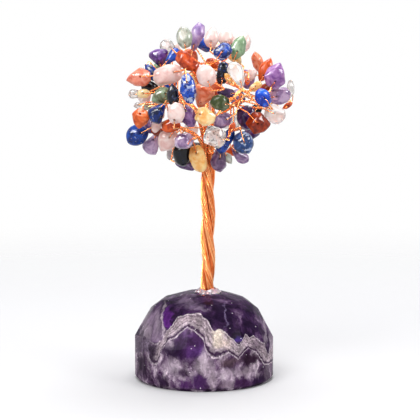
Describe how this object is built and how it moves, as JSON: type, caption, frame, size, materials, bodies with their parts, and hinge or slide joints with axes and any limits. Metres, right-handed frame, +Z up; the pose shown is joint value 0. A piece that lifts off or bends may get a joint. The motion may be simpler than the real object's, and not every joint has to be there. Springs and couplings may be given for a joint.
{
  "type": "gemstone tree ornament",
  "caption": "Small table ornament: a round crown of drilled tumbled stone chips on twisted copper wire, standing on a twisted wire trunk in a faceted amethyst dome.",
  "frame": {"origin": "middle of the dome's flat underside", "axes": "+Z up along the trunk, -Y towards the viewer"},
  "size_m": [0.0606, 0.0514, 0.128],
  "materials": {
    "amethyst": "tumbled, polished",
    "amethyst_base": "polished, hand-cut facets",
    "aventurine": "tumbled, polished",
    "carnelian": "tumbled, polished",
    "citrine": "tumbled, polished",
    "clear_glue": "clear, gone milky",
    "clear_quartz": "tumbled, polished",
    "copper_wire": "bright drawn wire",
    "lapis": "tumbled, polished",
    "pale_amethyst": "tumbled, polished",
    "prehnite": "tumbled, polished",
    "red_jasper": "tumbled, polished",
    "rose_quartz": "tumbled, polished",
    "sodalite": "tumbled, polished"
  },
  "bodies": {
    "tree": {"amethyst_base": "amethyst_base", "amethyst_chips": "amethyst", "aventurine_chips": "aventurine", "carnelian_chips": "carnelian", "citrine_chips": "citrine", "clear_quartz_chips": "clear_quartz", "glue_bead": "clear_glue", "lapis_chips": "lapis", "left_front_bough": "copper_wire", "left_front_twigs": "copper_wire", "left_low_bough": "copper_wire", "left_low_twigs": "copper_wire", "left_top_bough": "copper_wire", "left_top_twigs": "copper_wire", "pale_amethyst_chips": "pale_amethyst", "prehnite_chips": "prehnite", "rear_left_bough": "copper_wire", "rear_left_twigs": "copper_wire", "rear_right_bough": "copper_wire", "rear_right_twigs": "copper_wire", "rear_top_bough": "copper_wire", "rear_top_twigs": "copper_wire", "red_jasper_chips": "red_jasper", "right_front_bough": "copper_wire", "right_front_twigs": "copper_wire", "right_low_bough": "copper_wire", "right_low_twigs": "copper_wire", "right_top_bough": "copper_wire", "right_top_twigs": "copper_wire", "rose_quartz_chips": "rose_quartz", "sodalite_chips": "sodalite", "trunk_strand_front_left": "copper_wire", "trunk_strand_front_right": "copper_wire", "trunk_strand_rear": "copper_wire"},
    "aventurine_leaf": {"aventurine_leaf": "aventurine"},
    "lapis_square": {"lapis_square": "lapis"},
    "rose_cone": {"rose_cone": "rose_quartz"},
    "tall_amethyst": {"tall_amethyst": "pale_amethyst"},
    "dark_amethyst_wedge": {"dark_amethyst_wedge": "amethyst"},
    "coral_tear": {"coral_tear": "carnelian"},
    "jasper_tear": {"jasper_tear": "red_jasper"},
    "lapis_round": {"lapis_round": "lapis"},
    "citrine_nugget": {"citrine_nugget": "citrine"},
    "smoky_drop": {"smoky_drop": "pale_amethyst"},
    "lapis_ball": {"lapis_ball": "lapis"},
    "jasper_heart": {"jasper_heart": "red_jasper"},
    "clear_block": {"clear_block": "rose_quartz"},
    "lapis_disc": {"lapis_disc": "lapis"},
    "large_amethyst": {"large_amethyst": "amethyst"}
  },
  "joints": [
    {"name": "aventurine_leaf_swing", "type": "hinge", "parent": "tree", "child": "aventurine_leaf", "pos_m": [0.01134, -0.01147, 0.1172], "axis": [0.135, -0.9644, 0.2276], "range_deg": [-12, 12]},
    {"name": "lapis_square_swing", "type": "hinge", "parent": "tree", "child": "lapis_square", "pos_m": [0.00632, -0.0165, 0.11747], "axis": [0.0663, -0.9745, 0.2144], "range_deg": [-12, 12]},
    {"name": "rose_cone_swing", "type": "hinge", "parent": "tree", "child": "rose_cone", "pos_m": [0.00255, -0.00908, 0.12065], "axis": [0.0173, -0.9618, 0.2732], "range_deg": [-12, 12]},
    {"name": "tall_amethyst_swing", "type": "hinge", "parent": "tree", "child": "tall_amethyst", "pos_m": [-0.00342, -0.00436, 0.11964], "axis": [-0.05, -0.9618, 0.2693], "range_deg": [-12, 12]},
    {"name": "dark_amethyst_wedge_swing", "type": "hinge", "parent": "tree", "child": "dark_amethyst_wedge", "pos_m": [-0.01529, -0.00645, 0.11375], "axis": [-0.215, -0.9598, 0.1804], "range_deg": [-12, 12]},
    {"name": "coral_tear_swing", "type": "hinge", "parent": "tree", "child": "coral_tear", "pos_m": [-0.02151, -0.00833, 0.10859], "axis": [-0.3035, -0.9485, 0.0911], "range_deg": [-12, 12]},
    {"name": "jasper_tear_swing", "type": "hinge", "parent": "tree", "child": "jasper_tear", "pos_m": [-0.02158, -0.01429, 0.09632], "axis": [-0.2933, -0.9523, -0.0838], "range_deg": [-12, 12]},
    {"name": "lapis_round_swing", "type": "hinge", "parent": "tree", "child": "lapis_round", "pos_m": [-0.02159, -0.0075, 0.08933], "axis": [-0.3078, -0.9383, -0.1576], "range_deg": [-12, 12]},
    {"name": "citrine_nugget_swing", "type": "hinge", "parent": "tree", "child": "citrine_nugget", "pos_m": [-0.00264, -0.01342, 0.0829], "axis": [-0.0424, -0.9641, -0.2622], "range_deg": [-12, 12]},
    {"name": "smoky_drop_swing", "type": "hinge", "parent": "tree", "child": "smoky_drop", "pos_m": [0.00545, -0.00776, 0.08068], "axis": [0.0501, -0.9627, -0.2657], "range_deg": [-12, 12]},
    {"name": "lapis_ball_swing", "type": "hinge", "parent": "tree", "child": "lapis_ball", "pos_m": [0.0136, -0.01532, 0.08667], "axis": [0.157, -0.9692, -0.19], "range_deg": [-12, 12]},
    {"name": "jasper_heart_swing", "type": "hinge", "parent": "tree", "child": "jasper_heart", "pos_m": [0.01809, -0.01653, 0.09324], "axis": [0.2174, -0.9704, -0.1048], "range_deg": [-12, 12]},
    {"name": "clear_block_swing", "type": "hinge", "parent": "tree", "child": "clear_block", "pos_m": [0.02387, -0.01187, 0.09634], "axis": [0.2937, -0.9537, -0.0649], "range_deg": [-12, 12]},
    {"name": "lapis_disc_swing", "type": "hinge", "parent": "tree", "child": "lapis_disc", "pos_m": [0.02055, -0.01642, 0.10167], "axis": [0.2444, -0.9697, 0.0078], "range_deg": [-12, 12]},
    {"name": "large_amethyst_swing", "type": "hinge", "parent": "tree", "child": "large_amethyst", "pos_m": [0.02423, -0.00873, 0.10698], "axis": [0.2963, -0.9496, 0.1026], "range_deg": [-12, 12]}
  ]
}
